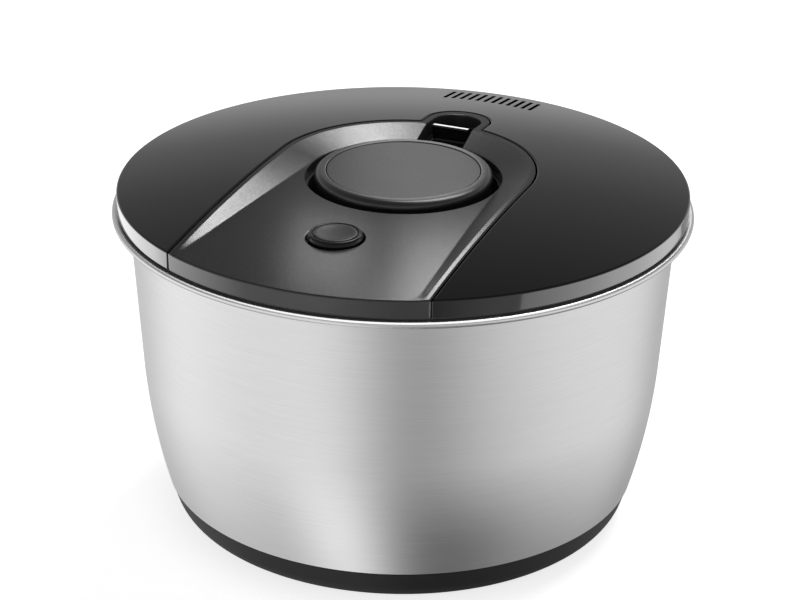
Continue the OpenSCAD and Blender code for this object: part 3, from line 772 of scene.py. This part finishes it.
def build_cap():
    """The knob's ring, with a soft round edge and a shallow recess."""
    recess = KNOB_TOP - 2.6
    edge = INLAY_R + 0.2
    profile = rounded(
        [
            (KNOB_R, CAP_Z, 0.5),
            (KNOB_R, KNOB_TOP, 3.2),
            (edge, KNOB_TOP, 0.6),
            (edge, recess, 0.1),
            (4.5, recess, 0.2),
            (4.5, CAP_Z, 0.1),
        ],
        8,
    )
    return lathe("knob_ring", profile, KNOB, segments=300)


def build_inlay():
    """The dished disc on the knob."""
    edge_top = KNOB_TOP - 0.3
    dish = 1.3
    low = KNOB_TOP - 2.6
    steps = 24
    soft = 0.3
    profile = [(0, low), (INLAY_R, low)] + arc((INLAY_R - soft, edge_top - soft), soft, 0, 90, 5)
    reach = INLAY_R - soft
    shares = [i / steps for i in range(steps - 1, -1, -1)]
    profile += [(reach * share, edge_top - dish * (1 - share**2)) for share in shares]
    return lathe("knob_disc", profile, INLAY, segments=300)


knob_ring = place(build_cap(), "knob", "knob_black", "knob_cap")
inlay = place(build_inlay(), "knob", "inlay_metallic", "knob_inlay")

# ---------------------------------------------------------------- brake button

BUTTON_TOP = box_mm("brake_button")[1].z
BUTTON_LOW = box_mm("brake_button")[0].z
BUTTON_DECK = EDGE_Z + 1.8


def build_button():
    """The button: a tube with a raised round rim."""
    inner = BUTTON_R - 1.8
    floor = BUTTON_TOP - 0.9
    profile = rounded(
        [
            (0, BUTTON_DECK, 0),
            (BUTTON_R - 1.2, BUTTON_DECK, 0.2),
            (BUTTON_R - 1.2, BUTTON_LOW, 0.3),
            (BUTTON_R, BUTTON_LOW, 0.3),
            (BUTTON_R, BUTTON_TOP - 1.9, 0.5),
            (BUTTON_R - 0.5, BUTTON_TOP - 0.9, 0.2),
            (BUTTON_R - 0.5, BUTTON_TOP, 0.5),
            (inner, BUTTON_TOP, 0.4),
            (inner, floor, 0.05),
            (0, floor, 0),
        ],
        8,
    )
    return lathe("button_ring", profile, BUTTON, (0, -BUTTON_Y), 200)


def build_button_disc():
    """The button's dished disc, with a narrow groove round it."""
    r = BUTTON_R - 2.4
    low = BUTTON_TOP - 0.9
    soft = 0.35
    top = BUTTON_TOP + 0.1
    dish_r = r - 1.2
    profile = [(0, low), (r, low)] + arc((r - soft, top - soft), soft, 0, 90, 6)
    profile += [(dish_r * i / 20, top - 0.8 * (1 - (i / 20) ** 2)) for i in range(20, -1, -1)]
    return lathe("button_disc", profile, INLAY, (0, -BUTTON_Y), 200)


button = place(build_button(), "button", "button_black", "brake_button")
button_disc = place(build_button_disc(), "button", "inlay_metallic", "button_inlay")

# ---------------------------------------------------------------- latch


def bevelled(obj, width, segments=3):
    """Rounds a mesh's edges for good."""
    modifier = obj.modifiers.new("soft_edges", "BEVEL")
    modifier.width = width * MM
    modifier.segments = segments
    modifier.limit_method = "ANGLE"
    modifier.harden_normals = True
    graph = bpy.context.evaluated_depsgraph_get()
    obj.data = bpy.data.meshes.new_from_object(obj.evaluated_get(graph))
    obj.modifiers.clear()
    return obj


def prism(name, outline, half_low, half_high, material):
    """A closed (y, z) outline stretched along X, narrower where it is higher."""
    lowest = min(z for _, z in outline)
    highest = max(z for _, z in outline)
    count = len(outline)
    vertices = []
    for side in (-1, 1):
        for y, z in outline:
            half = half_low + (half_high - half_low) * (z - lowest) / (highest - lowest)
            vertices.append((side * half, y, z))
    faces = [tuple(range(count)), tuple(range(2 * count - 1, count - 1, -1))]
    faces += [(i, i + count, (i + 1) % count + count, (i + 1) % count) for i in range(count)]
    return add_mesh(name, vertices, faces, material)


def build_latch():
    """The latch: a flat slide with a finger tab that leans towards the knob."""
    low = EDGE_Z - 3.5
    deck = low + 2.8
    top = box_mm("latch_slider")[1].z
    half = 9
    outline = rounded(
        [
            (41, low, 0.3),
            (73, low, 0.3),
            (73, deck, 0.6),
            (63, deck, 1.6),
            (59.6, top - 0.2, 0.7),
            (56.6, top, 0.7),
            (58.5, deck, 1.4),
            (41, deck, 0.5),
        ],
        6,
    )
    body = prism("latch", outline, half, half, GLOSS)
    return bevelled(body, 0.4)


latch = place(build_latch(), "latch", "lid_gloss", "latch_slider")

# ---------------------------------------------------------------- springs


def build_coil(name, mean_r, wire_r, length, turns, matrix):
    """A coil spring along Z from 0 to its length, then placed by a matrix, in millimetres."""
    around, sides = 40, 12
    rings = int(turns * around)
    vertices, faces, normals = [], [], []
    for i in range(rings + 1):
        a = 2 * math.pi * i / around
        rise = wire_r + (length - 2 * wire_r) * i / rings
        for j in range(sides):
            b = 2 * math.pi * j / sides
            r = mean_r + wire_r * math.cos(b)
            point = Vector((r * math.cos(a), r * math.sin(a), rise + wire_r * math.sin(b)))
            normal = Vector((math.cos(b) * math.cos(a), math.cos(b) * math.sin(a), math.sin(b)))
            vertices.append(tuple(matrix @ point))
            normals.append(tuple(matrix.to_3x3() @ normal))
    for i in range(rings):
        for j in range(sides):
            k = (j + 1) % sides
            faces.append((i * sides + j, (i + 1) * sides + j, (i + 1) * sides + k, i * sides + k))
    faces.append(tuple(range(sides)))
    faces.append(tuple(rings * sides + j for j in range(sides - 1, -1, -1)))
    return add_mesh(name, vertices, faces, BRIGHT, normals)


def spring_between(name, node, mean_r, wire_r, turns, along, centre):
    """A spring in a CAD spring's place, stretched between the lid and a moving body."""
    low, high = box_mm(node)
    if along == "Z":
        start, end = low.z, high.z
        matrix = Matrix.Translation((*centre, start))
    else:
        start, end = low.y, high.y
        matrix = Matrix.Translation((centre[0], start, centre[1])) @ Matrix.Rotation(-math.pi / 2, 4, "X")
    coil = build_coil(name, mean_r, wire_r, end - start, turns, matrix)
    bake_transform(coil)
    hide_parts(node)
    return coil


spring_between("knob_spring", "return_spring", 23, 0.75, 7, "Z", (0, 0))
spring_between("button_spring", "brake_spring", 9.6, 0.4, 4, "Z", (0, -BUTTON_Y))
spring_between("slide_spring", "latch_spring", 1.1, 0.3, 6, "Y", (0, EDGE_Z - 2.1))

# ---------------------------------------------------------------- materials of the pieces kept from CAD

KEPT = {
    "pivot_pin": BRIGHT,
    "pivot_cup": BEARING,
    "basket": BASKET,
    "lid_base": INNER,
    "lid_seal": RUBBER,
    "lid_screws": BRIGHT,
    "hub_bush": BEARING,
    "drive_plate": INNER,
    "ratchet_ring": BRIGHT,
    "hub_cap": BEARING,
    "hub_clip": BRIGHT,
    "clutch_nut": BEARING,
    "clutch_pawls": BRIGHT,
    "knob_skirt": KNOB,
    "spindle": BRIGHT,
    "spindle_screw": BRIGHT,
    "brake_plunger": BEARING,
    "brake_shoe": RUBBER,
}
for node_name, node_material in KEPT.items():
    NODES[node_name].data.materials.clear()
    NODES[node_name].data.materials.append(node_material)

# ---------------------------------------------------------------- studio

STUDIO_TURN = 22.4


def build_floor():
    """A large plain white floor."""
    material, _, shader = new_material("floor_white")
    shader.inputs["Base Color"].default_value = (0.9, 0.9, 0.9, 1)
    shader.inputs["Roughness"].default_value = 0.9
    shader.inputs["Emission Color"].default_value = (1, 1, 1, 1)
    shader.inputs["Emission Strength"].default_value = 0.75
    size = 8000
    corners = [(-size, -size, 0), (size, -size, 0), (size, size, 0), (-size, size, 0)]
    floor = add_mesh("floor", corners, [(0, 1, 2, 3)], material)
    floor.visible_glossy = False


def build_world():
    """Soft studio surroundings: bright at the horizon, darker above, with a dark gap at the camera's side."""
    world = bpy.data.worlds.new("studio")
    bpy.context.scene.world = world
    world.use_nodes = True
    tree = world.node_tree
    background = tree.nodes["Background"]
    coords = add_node(tree, "ShaderNodeTexCoord")
    turned = add_node(tree, "ShaderNodeVectorRotate", [("Vector", coords.outputs["Generated"])])
    turned.rotation_type = "Z_AXIS"
    turned.inputs["Angle"].default_value = math.radians(-STUDIO_TURN)
    parts = add_node(tree, "ShaderNodeSeparateXYZ", [("Vector", turned.outputs["Vector"])])
    toward = add_node(tree, "ShaderNodeMath", [(0, parts.outputs["Y"])], operation="MULTIPLY")
    toward.inputs[1].default_value = -1
    angle = add_node(
        tree, "ShaderNodeMath", [(0, parts.outputs["X"]), (1, toward.outputs[0])], operation="ARCTAN2"
    )
    azimuth = add_node(tree, "ShaderNodeMapRange", [("Value", angle.outputs[0])])
    azimuth.inputs["From Min"].default_value = -math.pi
    azimuth.inputs["From Max"].default_value = math.pi
    rise = add_node(tree, "ShaderNodeMath", [(0, parts.outputs["Z"])], operation="ARCSINE")
    height = add_node(tree, "ShaderNodeMapRange", [("Value", rise.outputs[0])])
    height.inputs["From Min"].default_value = -math.pi / 2
    height.inputs["From Max"].default_value = math.pi / 2

    def at_azimuth(degrees):
        return 0.5 + degrees / 360

    def at_height(degrees):
        return 0.5 + degrees / 180

    low_ring = ramp(
        tree,
        azimuth.outputs[0],
        [
            (at_azimuth(-180), 0.4),
            (at_azimuth(-142), 0.75),
            (at_azimuth(-115), 1.4),
            (at_azimuth(-70), 1.15),
            (at_azimuth(-30), 1.15),
            (at_azimuth(-2), 0.38),
            (at_azimuth(10), 0.4),
            (at_azimuth(35), 0.95),
            (at_azimuth(75), 1.15),
            (at_azimuth(118), 1.15),
            (at_azimuth(145), 0.5),
        ],
    )
    deep_ring = ramp(
        tree,
        azimuth.outputs[0],
        [
            (at_azimuth(-180), 0.2),
            (at_azimuth(-90), 0.75),
            (at_azimuth(-62), 0.5),
            (at_azimuth(-30), 2.0),
            (at_azimuth(-4), 0.1),
            (at_azimuth(25), 0.05),
            (at_azimuth(80), 0.4),
            (at_azimuth(118), 0.3),
            (at_azimuth(145), 0.15),
        ],
    )
    depth = ramp(tree, height.outputs[0], [(at_height(-52), 1), (at_height(-30), 0)])
    below = mix(tree, depth, low_ring, deep_ring, "RGBA")
    sky = ramp(
        tree,
        height.outputs[0],
        [
            (at_height(0), 0.95),
            (at_height(7), 0.8),
            (at_height(14), 0.5),
            (at_height(24), 0.33),
            (at_height(42), 0.17),
            (at_height(90), 0.14),
        ],
    )
    horizon = ramp(tree, height.outputs[0], [(at_height(-4), 0), (at_height(5), 1)])
    both = mix(tree, horizon, below, sky, "RGBA")
    ray = add_node(tree, "ShaderNodeLightPath")
    seen = add_node(tree, "ShaderNodeMix", data_type="RGBA")
    tree.links.new(ray.outputs["Is Camera Ray"], seen.inputs[0])
    tree.links.new(both, seen.inputs[6])
    seen.inputs[7].default_value = (1, 1, 1, 1)
    tree.links.new(seen.outputs[2], background.inputs["Color"])


def softbox(name, where, target, width, depth, power, only=(), spread_angle=180):
    """A soft rectangular light aimed at a point; it can be made to light only some pieces."""
    light = bpy.data.lights.new(name, "AREA")
    light.shape = "RECTANGLE"
    light.size = width
    light.size_y = depth
    light.energy = power
    light.spread = math.radians(spread_angle)
    obj = bpy.data.objects.new(name, light)
    bpy.context.scene.collection.objects.link(obj)
    obj.location = where
    obj.rotation_euler = (Vector(target) - Vector(where)).to_track_quat("-Z", "Y").to_euler()
    obj.visible_camera = False
    if only:
        group = bpy.data.collections.new(name + "_pieces")
        for piece in only:
            group.objects.link(piece)
        obj.light_linking.receiver_collection = group
    return obj


def at_angle(azimuth, radius, z):
    """A point round the object in metres, at an azimuth in degrees from the side that faces the camera."""
    a = math.radians(azimuth + STUDIO_TURN)
    return (radius * math.sin(a), -radius * math.cos(a), z)


bpy.context.scene.view_settings.view_transform = "Standard"
build_floor()
build_world()
BELOW_TOP = [obj for obj in bpy.context.scene.objects if obj.type == "MESH" and obj not in (cover, panel)]
ON_PANEL = (panel, inlay, button, button_disc)
ON_KNOB = (inlay, knob_ring, button_disc)
softbox("light_top", (0.15, 0.55, 1.25), (0, 0, 0.15), 0.8, 0.6, 9, BELOW_TOP)
softbox("card_panel", (0.01, 0.04, 0.245), (0.042, -0.085, 0.16), 0.05, 0.05, 0.026, ON_PANEL)
softbox("card_slope", (-0.0445, 0.006, 0.222), (-0.054, -0.095, 0.158), 0.04, 0.04, 0.012, (panel,))
softbox("card_collar", (-0.026, 0.158, 0.4), (-0.035, 0.045, 0.165), 0.08, 0.08, 0.26, (panel,))
softbox("card_knob", (-0.054, 0.151, 0.2295), (0.01, -0.025, 0.1635), 0.06, 0.06, 0.019, ON_KNOB)
softbox("card_latch", (-0.104, 0.31, 0.29), (0, 0.058, 0.165), 0.2, 0.2, 0.67, (latch,))
softbox("card_bead", (0.05, -0.13, 0.7), (0, -0.05, 0.148), 1.2, 1.2, 7, (bowl,))
CARD_Z = 0.1
SIDE_CARDS = (cover, panel)
softbox(
    "card_left", at_angle(-65, 0.209, CARD_Z), at_angle(-34.5, 0.165, 0.146), 0.3, 0.1, 0.09, SIDE_CARDS, 96
)
softbox(
    "card_right", at_angle(65, 0.209, CARD_Z), at_angle(45.4, 0.126, 0.146), 0.3, 0.1, 0.12, SIDE_CARDS, 115
)
